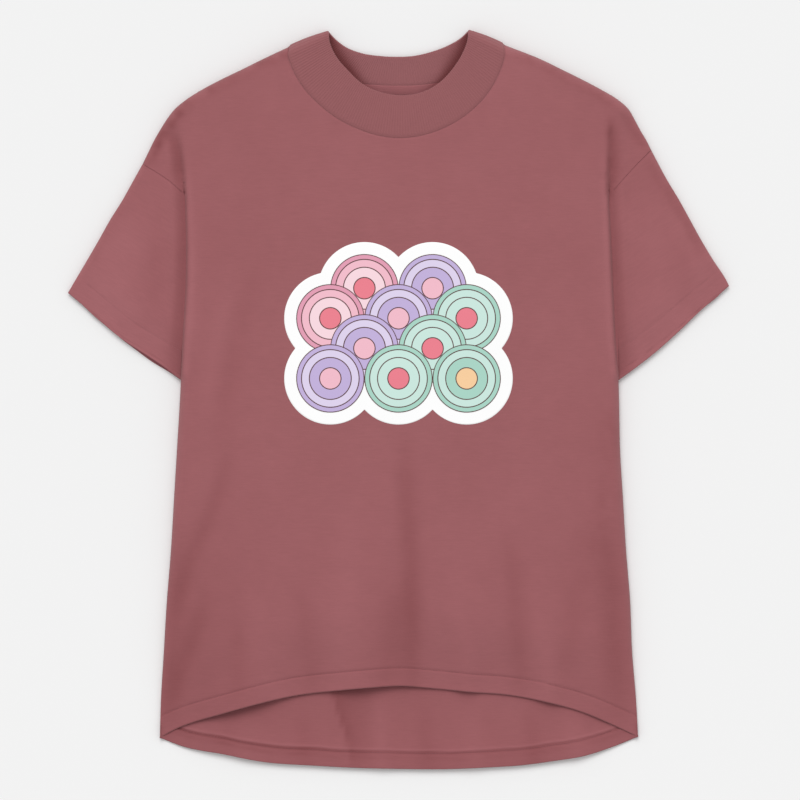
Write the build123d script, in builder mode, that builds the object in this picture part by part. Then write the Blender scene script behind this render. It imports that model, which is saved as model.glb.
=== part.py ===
from build123d import *
from math import cos, exp, radians, sin
import os

os.makedirs("parts", exist_ok=True)

# A short-sleeved knitted top with a high ribbed neck, lying on its back.
# The neck points towards +Y, the chest faces up (+Z), and the left sleeve is at -X.
# Lengths are millimetres on the laid-out garment.

# Body
garment_length = 738.0  # back hem to the collar's top corners
shoulder_width = 506.0  # armhole seam to armhole seam, over the dropped shoulders
underarm_width = 437.0  # side to side below the sleeves
hem_width = 478.0  # side corner to side corner
shoulder_drop = 110.0  # neck point down to the outer end of the shoulder
underarm_drop = 328.0  # neck point down to the underarm
front_hem_rise = 52.0  # middle of the front hem above the side corners
back_hem_drop = 31.0  # middle of the back hem below the side corners
shoulder_round = 80.0  # radius where the shoulder turns down into the arm

# Neck
neck_width = 215.0  # neck point to neck point
front_neck_drop = 91.6
back_neck_drop = 38.0
collar_rise = 16.0  # collar's top corners above the neck points
collar_top_width = 139.0
collar_front_drop = 64.5  # top edge at the front below its corners
collar_back_drop = 26.0  # top edge at the back below its corners
collar_front_height = 18.7  # top edge above the surface under it, at the middle of the front
collar_fold_height = 13.0  # the same beside the side folds
collar_back_lift = 9.0  # how far the back of the collar stands up
tape_width = 10.0
tape_length = 168.0

# Sleeves
sleeve_reach = 77.5  # outer end of the cuff outside the shoulder end
sleeve_drop = 132.0  # and below it
cuff_bow = 5.0
armhole_in = 41.5  # where the armhole seam runs in under the body's fold
armhole_down = 38.0
fold_hollow = 2.7  # how much the fold line curves inwards

# Cloth
fabric = 1.0
rib = 2.4  # rib knit folded double
tape_thickness = 0.8
seam_allowance = 8.0
hem_depth = 18.5
cuff_depth = 19.0
film = 0.4  # printed transfer film
ink = 0.2

# Heights of the laid garment above the surface under it
edge_height = 11.5  # at the body's sides
chest_height = 24.0
hem_height = 16.0
neck_height = 16.0
sleeve_height = 11.0
crease_depth = 2.5  # where each shoulder dips beside the body's fold
body_roll = 9.0  # rounding of the body's side and shoulder folds
sleeve_roll = 6.0
sleeve_foot = 3.0

# Print on the chest: rows of overlapping fans
fan_radius = 34.0
fan_row_pitch = 30.0
fan_rows = (2, 3, 2, 3)
fan_core = 15.0
fan_gap = 2.0
print_border = 12.0
print_above_middle = 66.5

# Soft upright folds in the lower body: place as a share of the half width, height and width
body_folds = (
    (-0.86, -1.3, 24.0),
    (-0.66, 1.6, 26.0),
    (-0.24, 2.2, 24.0),
    (0.05, -3.4, 20.0),
    (0.32, 2.0, 26.0),
    (0.60, -1.2, 22.0),
    (0.88, 1.4, 24.0),
)
fold_start = 290.0  # below the neck points
crease_width = 9.0

# Working sizes
margin = 20.0
mouth_cut = 4.0  # how far a hollow runs out past its open edge
seam_overrun = 4.0  # collar made this much too long, then trimmed at the neckline

# Places worked out from the sizes above
top_y = garment_length / 2
neck_y = top_y - collar_rise
shoulder_y = neck_y - shoulder_drop
underarm_y = neck_y - underarm_drop
corner_y = back_hem_drop - top_y
chest_y = print_above_middle + fan_row_pitch
half_shoulder = shoulder_width / 2
half_underarm = underarm_width / 2
half_hem = hem_width / 2
half_neck = neck_width / 2
half_collar = collar_top_width / 2
fold_x = half_shoulder - armhole_in
fold_y = shoulder_y - armhole_down
cuff_tip = (half_shoulder + sleeve_reach, shoulder_y - sleeve_drop)
fold_ends = [(-fold_hollow, -armhole_down), (half_hem - half_underarm, corner_y - underarm_y)]
ceiling = chest_height + margin

front_angles = (0, 18, 36, 52, 66, 78, 87)  # stations round the collar, from the middle out
fold_angles = (60, 0, -60)


def mirrored(points):
    """Points from the middle out to the right, given from left to right across the whole width."""
    return [(-x, y) for x, y in reversed(points[1:])] + points


def smooth_step(value):
    t = min(max(value, 0.0), 1.0)
    return t * t * (3 - 2 * t)


def body_height(x, y):
    """Upper face of the body: a low crown, soft upright folds and the crease at each shoulder."""
    toward_hem = max(0.0, (chest_y - y) / (chest_y + top_y))
    toward_neck = max(0.0, (y - chest_y) / (neck_y - chest_y))
    crown = chest_height - edge_height
    crown -= (chest_height - hem_height) * toward_hem**2
    crown -= (chest_height - neck_height) * toward_neck**2
    z = edge_height + crown * max(0.0, 1 - (x / (half_shoulder + crease_width)) ** 2)
    fade = smooth_step((neck_y - fold_start - y) / (neck_y - fold_start - corner_y) * 1.4)
    for place, lift, width in body_folds:
        z += lift * fade * exp(-(((x - place * half_hem) / width) ** 2))
    along = (y - fold_y - armhole_down * 0.8) / armhole_down
    aside = (abs(x) - fold_x - crease_width / 2) / crease_width
    return z - crease_depth * exp(-(along**2) - aside**2)


body_spans = [half_shoulder * share for share in
              (-1.08, -0.95, -0.86, -0.76, -0.64, -0.50, -0.36, -0.22, -0.10, 0.0,
               0.10, 0.22, 0.36, 0.50, 0.64, 0.76, 0.86, 0.95, 1.08)]
body_stations = [top_y * share for share in
                 (-1.06, -0.92, -0.78, -0.64, -0.50, -0.34, -0.16, 0.04, 0.24, 0.42,
                  0.52, 0.60, 0.67, 0.74, 0.82, 0.92, 1.06)]


def body_drape(lift=0.0):
    """Everything below the body's upper face, raised or lowered by lift."""
    with BuildPart() as solid:
        for y in body_stations:
            with BuildSketch(Plane.XZ.offset(-y)):
                with BuildLine():
                    crest = Spline(*[(x, body_height(x, y) + lift) for x in body_spans])
                    Polyline(crest @ 1, (body_spans[-1], -margin), (body_spans[0], -margin), crest @ 0)
                make_face()
        loft()
    return solid.part


def front_neck():
    return mirrored([(0, neck_y - front_neck_drop),
                     (half_neck * 0.58, neck_y - front_neck_drop * 0.77),
                     (half_neck * 0.885, neck_y - front_neck_drop * 0.42),
                     (half_neck, neck_y)])


def back_neck():
    return mirrored([(0, neck_y - back_neck_drop),
                     (half_neck * 0.56, neck_y - back_neck_drop * 0.86),
                     (half_neck, neck_y)])


def front_hem(raised=0.0, inward=0.0):
    side = half_hem - inward
    return mirrored([(0, corner_y + front_hem_rise + raised),
                     (side * 0.33, corner_y + front_hem_rise * 0.86 + raised),
                     (side * 0.60, corner_y + front_hem_rise * 0.67 + raised),
                     (side * 0.89, corner_y + front_hem_rise * 0.23 + raised),
                     (side, corner_y + raised)])


def back_hem(raised=0.0):
    return mirrored([(0, corner_y - back_hem_drop + raised),
                     (half_hem * 0.54, corner_y - back_hem_drop * 0.83 + raised),
                     (half_hem, corner_y + raised)])


def fold_line(inward=0.0):
    """The right-hand fold from the armhole seam down to the underarm."""
    drop = fold_y - underarm_y
    return [(fold_x - inward, fold_y),
            (fold_x - fold_hollow - inward, fold_y - drop * 0.3),
            (fold_x + (half_underarm - fold_x) * 0.35 - inward, fold_y - drop * 0.64),
            (half_underarm - inward, underarm_y)]


def shoulder_line(inward=0.0, overrun=0.0):
    """Right-hand shoulder as three points, moved into the garment and run on past both ends."""
    points = [Vector(half_neck, neck_y),
              Vector(half_shoulder - shoulder_round * 0.4, shoulder_y + shoulder_drop * 0.527),
              Vector(half_shoulder, shoulder_y)]
    slope, arm = ((b - a).normalized() for a, b in zip(points, points[1:]))
    slope_in, arm_in = Vector(slope.Y, -slope.X), Vector(arm.Y, -arm.X)
    bend_in = (slope_in + arm_in) / (1 + slope_in.dot(arm_in))
    return [points[0] + slope_in * inward - slope * overrun,
            points[1] + bend_in * inward,
            points[2] + arm_in * inward + arm * overrun]


def body_side(side, inward, hem_end, overrun=0.0):
    """The outline along one side, from the neck over the shoulder and fold to the hem."""
    shoulder = [(side * p.X, p.Y) for p in shoulder_line(inward, overrun)]
    fold = [(side * x, y) for x, y in fold_line(inward)]
    FilletPolyline(*shoulder, radius=shoulder_round - inward)
    if overrun:
        Polyline(shoulder[-1], (fold[0][0] + side * overrun, fold_y + overrun / 4), fold[0])
    else:
        Line(shoulder[-1], fold[0])
    Spline(*fold, tangents=[(side * x, y) for x, y in fold_ends])
    Line(fold[-1], (side * hem_end[0], hem_end[1]))
    return shoulder[0]


def panel_outline(neck, hem):
    """Body panel seen from above, between a neckline and a hem."""
    with BuildSketch() as outline:
        with BuildLine():
            Spline(*neck)
            Spline(*hem)
            for side in (-1, 1):
                body_side(side, 0, hem[-1])
        make_face()
    return outline.sketch


def space_outline(inward, hem):
    """The space inside the body's sides, running out past the neck and the armholes."""
    with BuildSketch() as outline:
        with BuildLine():
            Spline(*hem)
            Line(*[body_side(side, inward, hem[-1], mouth_cut) for side in (-1, 1)])
        make_face()
    return outline.sketch


def sleeve_outline():
    """Right sleeve seen from above."""
    inner = fold_line()
    tip, low = Vector(*cuff_tip), Vector(*inner[-1])
    opening = tip - low
    bow = (tip + low) / 2 + Vector(opening.Y, -opening.X).normalized() * cuff_bow
    with BuildSketch() as outline:
        with BuildLine():
            Line((half_shoulder, shoulder_y), tip)
            ThreePointArc(tip, bow, low)
            Spline(*inner, tangents=fold_ends)
            Line(inner[0], (half_shoulder, shoulder_y))
        make_face()
    return outline.sketch


def sleeve_space_outline(layer, cuff_raised):
    """The space inside the sleeve's cloth, running out past the armhole and, if negative, the cuff."""
    arm = Vector(-sleeve_reach, sleeve_drop).normalized()
    inside = Vector(-arm.Y, arm.X) * layer
    inner = fold_line(-layer)
    tip = Vector(*cuff_tip) + arm * cuff_raised + inside
    top = Vector(half_shoulder, shoulder_y) + arm * mouth_cut * 2 + inside
    low = Vector(*inner[-1]) + Vector(0, cuff_raised)
    with BuildSketch() as outline:
        with BuildLine():
            Polyline(inner[0], (fold_x - mouth_cut * 2, fold_y + layer), top, tip, low)
            if cuff_raised > 0:
                inner = inner[:-1] + [(inner[-1][0] - fold_hollow / 2, inner[-1][1] + cuff_raised)]
                Polyline(low, inner[-1])
                Spline(*inner)
            else:
                Line(low, inner[-1])
                Spline(*inner, tangents=fold_ends)
        make_face()
    return outline.sketch


def below_curve(points):
    """Everything on the body's side of a neckline."""
    reach = half_shoulder + margin
    away = collar_rise / (half_neck - half_collar) * margin
    with BuildSketch() as region:
        with BuildLine():
            Spline(*points)
            Polyline(points[-1], (half_neck + away, neck_y + margin), (reach, neck_y + margin),
                     (reach, shoulder_y), (-reach, shoulder_y), (-reach, neck_y + margin),
                     (-half_neck - away, neck_y + margin), points[0])
        make_face()
    return region.sketch


def is_upper(edge):
    """An edge of an upper face, neither upright nor at the foot."""
    start, end = edge @ 0, edge @ 1
    return min(start.Z, end.Z) > sleeve_height / 2 and abs(start.Z - end.Z) < edge.length / 2


def on_side_fold(edge):
    """Upper edges at the body's sides and shoulders, not those at the neck, armholes or hem."""
    middle = edge.center()
    at_armhole = abs(middle.Y - (shoulder_y + fold_y) / 2) < armhole_down and edge.length < armhole_in * 2
    at_neck = abs(middle.X) < half_neck and middle.Y > fold_y
    at_hem = middle.Y < corner_y + front_hem_rise + hem_depth * 2 and abs(middle.X) < half_hem * 0.85
    return is_upper(edge) and not (at_armhole or at_neck or at_hem)


def on_arm_fold(edge):
    """The straight edge along the outside of the right sleeve, above or below."""
    middle = edge.center()
    outer_x = half_shoulder + (shoulder_y - middle.Y) * sleeve_reach / sleeve_drop
    return abs(middle.X - outer_x) < armhole_in / 4 and edge.length > sleeve_drop / 2


def raised(outline, base, top):
    """An outline raised from base to top."""
    with BuildPart() as solid:
        with BuildSketch(Plane.XY.offset(base)):
            add(outline)
        extrude(amount=top - base)
    return solid.part


def pillow(outline, base, drape, roll):
    """An outline raised from base to the body's draped face, rounded along the side folds."""
    block = raised(outline, base, ceiling)
    with BuildPart() as solid:
        add(block)
        add(drape, mode=Mode.INTERSECT)
        fillet(solid.edges().filter_by(on_side_fold), radius=roll)
    return solid.part


def arm_pillow(outline, layer):
    """The right sleeve's outer form, or the space inside one or two layers of its cloth."""
    block = raised(outline, layer, sleeve_height - layer)
    with BuildPart() as solid:
        add(block)
        fillet(solid.edges().filter_by(on_arm_fold).sort_by(Axis.Z)[-1:], radius=sleeve_roll - layer)
        fillet(solid.edges().filter_by(on_arm_fold).sort_by(Axis.Z)[:1], radius=sleeve_foot - layer)
    return solid.part


def collar_top_height(x, y):
    """Height of the collar's top edge round the front."""
    share = max(0.0, 1 - (x / half_collar) ** 2)
    return collar_fold_height + (collar_front_height - collar_fold_height) * share


def neck_ring(half_width, level, front_drop, power, back_drop, front_z, back_z):
    """Points from the middle of the front, over the side fold, to the middle of the back."""
    away = Vector(collar_rise, half_neck - half_collar).normalized()
    top, foot = front_z(half_width, level), back_z(0)
    radius = (top - foot) / 2
    side = Vector(half_width, level) - away * (rib / 2 + radius)
    side_drop = level - side.Y
    ring = []
    for angle in front_angles:
        x = side.X * sin(radians(angle)) ** (2 / power)
        y = side.Y - (front_drop - side_drop) * cos(radians(angle)) ** (2 / power)
        ring.append(Vector(x, y, front_z(x, y)))
    for angle in fold_angles:
        bend = Vector(side.X, side.Y, (top + foot) / 2) + away * radius * cos(radians(angle))
        ring.append(bend + Vector(0, 0, radius * sin(radians(angle))))
    for angle in reversed(front_angles):
        share = cos(radians(angle))
        y = side.Y - (back_drop - side_drop) * share
        ring.append(Vector(side.X * sin(radians(angle)), y, back_z(share)))
    return ring


def rib_loft(seam, top):
    """Right half of the collar through upright slices, each with a rounded, folded top edge."""
    middles = [(a + b) / 2 for a, b in zip(seam, top)]
    ends = [Vector(-m.X, m.Y, m.Z) for m in (middles[1], middles[-2])]
    walk = [ends[0]] + middles + [ends[1]]
    slices = list(zip(seam, top, walk, walk[2:]))
    fold_first, fold_last = len(front_angles) - 1, len(front_angles) + len(fold_angles)
    with BuildPart() as solid:
        for stretch in (slices[:fold_first + 1], slices[fold_first:fold_last + 1], slices[fold_last:]):
            for foot, tip, before, after in stretch:
                rise = tip - foot
                up, along = rise.normalized(), (after - before).normalized()
                along = (along - up * along.dot(up)).normalized()
                side, edge = rib / 2, rise.length - rib / 2
                with BuildSketch(Plane(origin=foot, x_dir=up, z_dir=along)):
                    with BuildLine():
                        Polyline((edge, side), (-seam_overrun, side), (-seam_overrun, -side), (edge, -side))
                        ThreePointArc((edge, -side), (edge + side, 0), (edge, side))
                    make_face()
            loft(ruled=True)
    return solid.part


def fan_places():
    """Middle and row of every fan in the print, from the top row down."""
    places = []
    for row, count in enumerate(fan_rows):
        y = print_above_middle + fan_row_pitch * ((len(fan_rows) - 1) / 2 - row)
        places += [(Vector((place - (count - 1) / 2) * fan_radius * 2, y), row) for place in range(count)]
    return places


def fan_field(centre, hiding, outer, inner):
    """The part of a fan between two radii that the rows in front leave showing."""
    with BuildSketch() as field:
        with Locations(centre):
            Circle(outer)
            if inner:
                Circle(inner, mode=Mode.SUBTRACT)
        if hiding:
            with Locations(*hiding):
                Circle(fan_radius + fan_gap / 2, mode=Mode.SUBTRACT)
    return field.sketch


def ink_fields(turn):
    """All fields of one ink: the broad band of every third fan and the core of the next."""
    fields = []
    for number, (centre, row) in enumerate(fan_places()):
        hiding = [other for other, other_row in fan_places() if other_row > row]
        if number % 3 == turn:
            fields.append(fan_field(centre, hiding, fan_radius - fan_gap, fan_core + fan_gap))
        if number % 3 == (turn + 1) % 3:
            fields.append(fan_field(centre, hiding, fan_core, 0))
    with BuildSketch() as together:
        add([field for field in fields if field.faces()])
    return together.sketch


# Both sleeves: one cloth folded along its outside, open at the armhole and the cuff
arm_body = arm_pillow(sleeve_outline(), 0)
arm_spaces = [arm_pillow(sleeve_space_outline(fabric, cuff_depth), fabric),
              arm_pillow(sleeve_space_outline(fabric * 2, -mouth_cut - cuff_bow), fabric * 2)]

with BuildPart() as right_sleeve:
    add(arm_body)
    add(arm_spaces, mode=Mode.SUBTRACT)
right_sleeve.part.label = "right_sleeve"
export_step(right_sleeve.part, "parts/right_sleeve.step")

with BuildPart() as left_sleeve:
    mirror(right_sleeve.part, about=Plane.YZ)
left_sleeve.part.label = "left_sleeve"
export_step(left_sleeve.part, "parts/left_sleeve.step")

# Front of the body: a shell with a doubled hem, open at the neck, armholes and hem,
# standing on the back along its sides and shoulders
front_outline = panel_outline(front_neck(), front_hem())
plain_outline = space_outline(fabric, front_hem(hem_depth, fabric))
hemmed_outline = space_outline(fabric * 2, front_hem(-mouth_cut, fabric * 2))
floor_outline = space_outline(seam_allowance, front_hem(-mouth_cut, seam_allowance))
with BuildSketch() as hem_floor:
    with Locations((0, corner_y)):
        Rectangle(hem_width - fabric * 4, hem_depth * 2)
front_solid = pillow(front_outline, fabric, body_drape(), body_roll)
front_spaces = [pillow(plain_outline, fabric * 2, body_drape(-fabric), body_roll - fabric),
                pillow(hemmed_outline, fabric * 2, body_drape(-fabric * 2), body_roll - fabric * 2),
                raised(floor_outline, fabric, fabric * 2),
                raised(hem_floor.sketch, fabric, fabric * 2)]

with BuildPart() as front_panel:
    add(front_solid)
    for space in front_spaces:
        add(space, mode=Mode.SUBTRACT)
front_panel.part.label = "front_panel"
export_step(front_panel.part, "parts/front_panel.step")

# Back of the body: flat on the surface under it, longer than the front, its hem turned inwards
back_outline = panel_outline(back_neck(), back_hem())
above_back_hem = panel_outline(back_neck(), back_hem(hem_depth))
with BuildPart() as back_panel:
    with BuildSketch():
        add(back_outline)
    extrude(amount=fabric)
    with BuildSketch(Plane.XY.offset(fabric)):
        with Locations((0, corner_y)):
            Rectangle(hem_width - fabric * 5, back_hem_drop * 4)
        add(back_outline, mode=Mode.INTERSECT)
        add(above_back_hem, mode=Mode.SUBTRACT)
    extrude(amount=fabric)
back_panel.part.label = "back_panel"
export_step(back_panel.part, "parts/back_panel.step")

# Tape over the back neck seam, on the inside
body_below_neck = below_curve(back_neck())
body_below_tape = below_curve([(x, y - tape_width) for x, y in back_neck()])
with BuildPart() as neck_tape:
    with BuildSketch(Plane.XY.offset(fabric)):
        add(body_below_neck)
        add(body_below_tape, mode=Mode.SUBTRACT)
        with Locations((0, neck_y)):
            Rectangle(tape_length, shoulder_drop * 2, mode=Mode.INTERSECT)
    extrude(amount=tape_thickness)
neck_tape.part.label = "neck_tape"
export_step(neck_tape.part, "parts/neck_tape.step")

# Collar: a doubled rib ring that follows both necklines and folds over at each side
seam_ring = neck_ring(half_neck, neck_y, front_neck_drop, 1.85, back_neck_drop,
                      lambda x, y: body_height(x, y) - fabric / 2, lambda share: rib / 2)
top_ring = neck_ring(half_collar, top_y, collar_front_drop, 1.7, collar_back_drop,
                     collar_top_height, lambda share: rib / 2 + collar_back_lift * share)
half_rib = rib_loft(seam_ring, top_ring)
seam_middle = (body_height(half_neck, neck_y) - fabric / 2 + rib / 2) / 2
body_below_front = raised(below_curve(front_neck()), seam_middle, ceiling)
body_below_back = raised(body_below_neck, -margin, seam_middle)
with BuildPart() as collar:
    add(half_rib)
    mirror(half_rib, about=Plane.YZ)
    add([body_below_front, body_below_back], mode=Mode.SUBTRACT)
    split(bisect_by=Plane.XY, keep=Keep.TOP)
collar.part.label = "collar"
export_step(collar.part, "parts/collar.step")

# Chest print: a transfer film, and on it rows of overlapping fans in three inks
fans = fan_places()
with BuildSketch() as film_outline:
    with Locations(*[centre for centre, row in fans]):
        Circle(fan_radius + print_border)
film_block = raised(film_outline.sketch, 0, ceiling)
with BuildPart() as chest_print:
    extrude(body_drape().faces().sort_by(Axis.Z)[-1], amount=film, dir=(0, 0, 1))
    add(film_block, mode=Mode.INTERSECT)
chest_print.part.label = "chest_print"
export_step(chest_print.part, "parts/chest_print.step")

film_top = body_drape(film).faces().sort_by(Axis.Z)[-1]
rose_block, mint_block, lilac_block = (raised(ink_fields(turn), 0, ceiling) for turn in range(3))
with BuildPart() as print_rose:
    extrude(film_top, amount=ink, dir=(0, 0, 1))
    add(rose_block, mode=Mode.INTERSECT)
print_rose.part.label = "print_rose"
export_step(print_rose.part, "parts/print_rose.step")

with BuildPart() as print_mint:
    extrude(film_top, amount=ink, dir=(0, 0, 1))
    add(mint_block, mode=Mode.INTERSECT)
print_mint.part.label = "print_mint"
export_step(print_mint.part, "parts/print_mint.step")

with BuildPart() as print_lilac:
    extrude(film_top, amount=ink, dir=(0, 0, 1))
    add(lilac_block, mode=Mode.INTERSECT)
print_lilac.part.label = "print_lilac"
export_step(print_lilac.part, "parts/print_lilac.step")
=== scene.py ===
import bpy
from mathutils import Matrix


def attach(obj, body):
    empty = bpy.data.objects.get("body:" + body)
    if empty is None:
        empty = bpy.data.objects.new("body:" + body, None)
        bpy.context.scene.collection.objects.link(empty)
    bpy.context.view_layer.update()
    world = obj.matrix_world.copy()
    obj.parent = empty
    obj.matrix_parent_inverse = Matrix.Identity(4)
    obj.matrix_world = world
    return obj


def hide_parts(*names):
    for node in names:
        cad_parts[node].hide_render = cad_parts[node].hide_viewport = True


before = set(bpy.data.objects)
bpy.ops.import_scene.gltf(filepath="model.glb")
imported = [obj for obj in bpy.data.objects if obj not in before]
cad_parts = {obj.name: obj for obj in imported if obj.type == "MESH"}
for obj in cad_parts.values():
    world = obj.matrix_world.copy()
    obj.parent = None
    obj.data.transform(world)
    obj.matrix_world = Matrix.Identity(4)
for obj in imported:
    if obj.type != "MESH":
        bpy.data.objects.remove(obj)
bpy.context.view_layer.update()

from math import pi, radians

import bmesh
import bpy
import numpy as np
from mathutils import Matrix, Vector, noise

# A dusty-rose t-shirt lying on its back. Shapes are worked out in millimetres in the garment's
# frame (+Y towards the neck, +Z up) and turned into metres when a mesh is made.
MM = 0.001
MIDDLE_X, MIDDLE_Y = 398.5, 400.0  # the garment's middle in the 800 x 800 photograph, 1 mm a pixel

CLOTH = 0.9  # thickness of the jersey
TOP_Y, NECK_Y, CHEST_Y = 369.0, 353.0, 96.5  # collar's top, shoulders' inner end, highest place of the chest
EDGE_HEIGHT, CHEST_HEIGHT, HEM_HEIGHT, NECK_HEIGHT = 9.8, 24.0, 16.0, 16.0
SLEEVE_HEIGHT = 8.6
HALF_SPAN = 262.0  # from the garment's middle to where the crown of the body ends
BODY_ROLL, SLEEVE_ROLL = 9.0, 6.0  # how far in from the outermost line a fold is rolled
BODY_MIDDLE, SLEEVE_MIDDLE = 4.3, 3.8  # height of the outermost line of the rolled folds
SLEEVE_START, SLEEVE_CHANGE = 215.0, 40.0  # where body folds start to become sleeve folds, over this far
BACK_HEIGHT = 1.0


# Lines and patches

def spot(px, py):
    """Place in the garment's frame, in millimetres, of a point measured in the photograph."""
    return (px - MIDDLE_X, MIDDLE_Y - py)


def line(*points):
    """A path through points measured in the photograph."""
    return np.array([spot(*point) for point in points], float)


def lengths(curve):
    """How far along the curve each of its points lies."""
    return np.concatenate([[0], np.cumsum(np.linalg.norm(np.diff(curve, axis=0), axis=1))])


def smooth(points, step=1.0):
    """A smooth curve through the points, sampled about every step millimetres."""
    points = np.asarray(points, float)
    if len(points) < 3:
        return points
    chords = np.linalg.norm(np.diff(points, axis=0), axis=1)
    slopes = np.gradient(points, lengths(points), axis=0)
    slopes[0] = (points[1] - points[0]) / chords[0]
    slopes[-1] = (points[-1] - points[-2]) / chords[-1]
    out = []
    for start, stop, slope_in, slope_out, chord in zip(points, points[1:], slopes, slopes[1:], chords):
        t = np.arange(0, 1, step / chord)[:, None]
        blend = 3 * t**2 - 2 * t**3
        bend = (t**3 - 2 * t**2 + t) * slope_in + (t**3 - t**2) * slope_out
        out.append((1 - blend) * start + blend * stop + chord * bend)
    return np.vstack(out + [points[-1:]])


def sample(curve, shares):
    """Points at the given shares of a curve's length."""
    at = lengths(curve)
    wanted = np.asarray(shares) * at[-1]
    return np.stack([np.interp(wanted, at, column) for column in curve.T], axis=1)


def chain(parts, counts):
    """Curves end to end, each with its own number of steps or its own shares."""
    pieces = [sample(part, np.linspace(0, 1, count + 1) if isinstance(count, int) else count)
              for part, count in zip(parts, counts)]
    return np.vstack([pieces[0]] + [piece[1:] for piece in pieces[1:]])


def edge_spread(count, even=0.15):
    """Shares from 0 to 1 that crowd towards both ends."""
    t = np.linspace(0, 1, count + 1)
    return (1 - even) * (1 - np.cos(pi * t)) / 2 + even * t


def patch(low, high, left, right, across, along):
    """Grid of points between four curves: low and high run across, left and right run along."""
    u, v = across[None, :, None], along[:, None, None]
    bottom, top = sample(low, across)[None], sample(high, across)[None]
    left, right = left[:, None], right[:, None]
    corners = ((1 - u) * (1 - v) * bottom[:, :1] + u * (1 - v) * bottom[:, -1:]
               + (1 - u) * v * top[:, :1] + u * v * top[:, -1:])
    return (1 - v) * bottom + v * top + (1 - u) * left + u * right - corners


def distance(points, curve):
    """Distance of each point from a curve, and how far along the curve its nearest point lies."""
    flat = points.reshape(-1, 2)
    best = np.full(len(flat), np.inf)
    where = np.zeros(len(flat))
    at = lengths(curve)
    for a, b, start, stop in zip(curve, curve[1:], at, at[1:]):
        way = b - a
        t = np.clip(((flat - a) @ way) / max(way @ way, 1e-9), 0, 1)
        gap = np.linalg.norm(flat - a - t[:, None] * way, axis=1)
        nearer = gap < best
        best[nearer] = gap[nearer]
        where[nearer] = (start + t * (stop - start))[nearer] / at[-1]
    return best.reshape(points.shape[:-1]), where.reshape(points.shape[:-1])


def ease(value):
    """0 below 0 and 1 above 1, with a smooth change between."""
    t = np.clip(value, 0, 1)
    return t * t * (3 - 2 * t)


def bell(offset, width):
    """1 where the offset is 0, fading to both sides over about twice the width."""
    return np.exp(-((offset / width) ** 2))


def quarter_round(share):
    """0 to 1 along a quarter of a circle while share goes from 0 to 1."""
    return np.sqrt(1 - (1 - np.clip(share, 0, 1)) ** 2)


def tucked(gap, reach):
    """1 at an edge that turns under and 0 beyond its reach."""
    return np.clip(1 - gap / reach, 0, 1) ** 2


def faded(where, rate, run):
    """1 along a path and fading at its ends; at a share of run the far end is gone."""
    return ease(where * rate) * ease((run - where) * rate)


def ripple(points, height, size, seed):
    """Smooth unevenness up to the given height, with waves of the given size, all in millimetres."""
    flat = points.reshape(-1, 2) / size
    seed_step = 7.3  # keeps the patterns of different seeds apart
    values = [noise.noise(Vector((x, y, seed * seed_step))) for x, y in flat]
    return height * np.array(values).reshape(points.shape[:-1])


# Outlines, in pixels of the photograph

LEFT_SIDE = line(
    (160, 738), (161, 700), (164, 650), (167, 600), (171, 550), (174, 500), (177, 450), (180, 400),
    (181, 380))
RIGHT_SIDE = line(
    (638, 737), (636, 700), (632, 650), (630, 600), (626, 550), (623, 500), (620, 450), (619, 400),
    (618.5, 380))
LEFT_FOLD = line((181, 380), (182, 357), (182.5, 323), (183, 288), (183, 248), (183, 215), (182, 192))
RIGHT_FOLD = line((618.5, 380), (618, 345), (617, 294), (615.5, 243), (614, 206), (613.5, 190))
LEFT_ARMHOLE = line((182, 192), (171, 182), (158, 173), (142.8, 164))
RIGHT_ARMHOLE = line((613.5, 190), (624, 178), (636, 165), (651, 150))
LEFT_SHOULDER = line(
    (142.8, 164), (149.6, 150), (154.5, 140), (160.3, 130), (166.6, 120), (174.2, 110), (186, 100),
    (201.8, 90), (220.6, 80), (241.3, 70), (261.4, 60), (289, 47))
RIGHT_SHOULDER = line(
    (651, 150), (646, 140), (640, 130), (634.7, 120), (628.9, 110), (618, 100), (601.5, 90), (582.7, 80),
    (562.5, 70), (542, 60), (504, 45))
LEFT_SLEEVE = line(
    (68, 293), (75.6, 280), (87.4, 260), (99, 240), (110.2, 220), (122.7, 200), (133.8, 180), (142.8, 164))
RIGHT_SLEEVE = line(
    (729, 286), (726, 280), (713, 260), (701, 240), (690, 220), (679, 200), (667, 180), (651, 150))
LEFT_CUFF = line((181, 375.5), (166, 364.5), (139, 347.5), (123, 337.5), (100, 319), (84, 305.5), (68, 293))
RIGHT_CUFF = line(
    (618.5, 371.5), (636, 360.2), (656, 346), (678, 328.1), (703, 306.3), (717, 295.4), (729, 286))
LEFT_CUFF_BACK = line(
    (181, 379), (168, 370.5), (152, 361), (136, 349.5), (123, 340), (100, 320), (84, 306), (68, 293))
RIGHT_CUFF_BACK = line(
    (618.5, 373), (636, 361.7), (656, 346.8), (678, 328.6), (703, 306.8), (717, 295.7), (729, 286))
FRONT_HEM = line(
    (160, 738), (174, 730), (190, 723.5), (220, 714.5), (256, 704.5), (294, 696), (339, 690.5), (372, 687.5),
    (400, 686), (433, 688.5), (475, 692.5), (503, 694.5), (539, 700.5), (587, 714), (616, 726.5), (638, 737))
BACK_HEM = line(
    (160, 738), (181, 746), (223, 754.2), (263, 761.8), (314, 765.5), (356, 767.7), (400, 768.7), (443, 769),
    (486, 767.4), (523, 765), (556, 760.6), (584, 756), (612, 747.3), (638, 737))
NECK_FRONT = line(
    (289, 47), (288.5, 56), (292, 67), (303, 87), (320, 105.5), (336, 118), (356, 128.5), (376, 135.5),
    (399, 138.5), (424, 135.5), (449, 126), (472, 110.5), (487, 94.5), (499, 73), (504, 57), (504, 45))
NECK_BACK = line(
    (289, 47), (300, 62), (318, 75), (345, 83), (372, 86.5), (398, 87.5), (424, 86.5), (452, 81.5),
    (478, 72), (495, 59), (504, 45))
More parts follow.
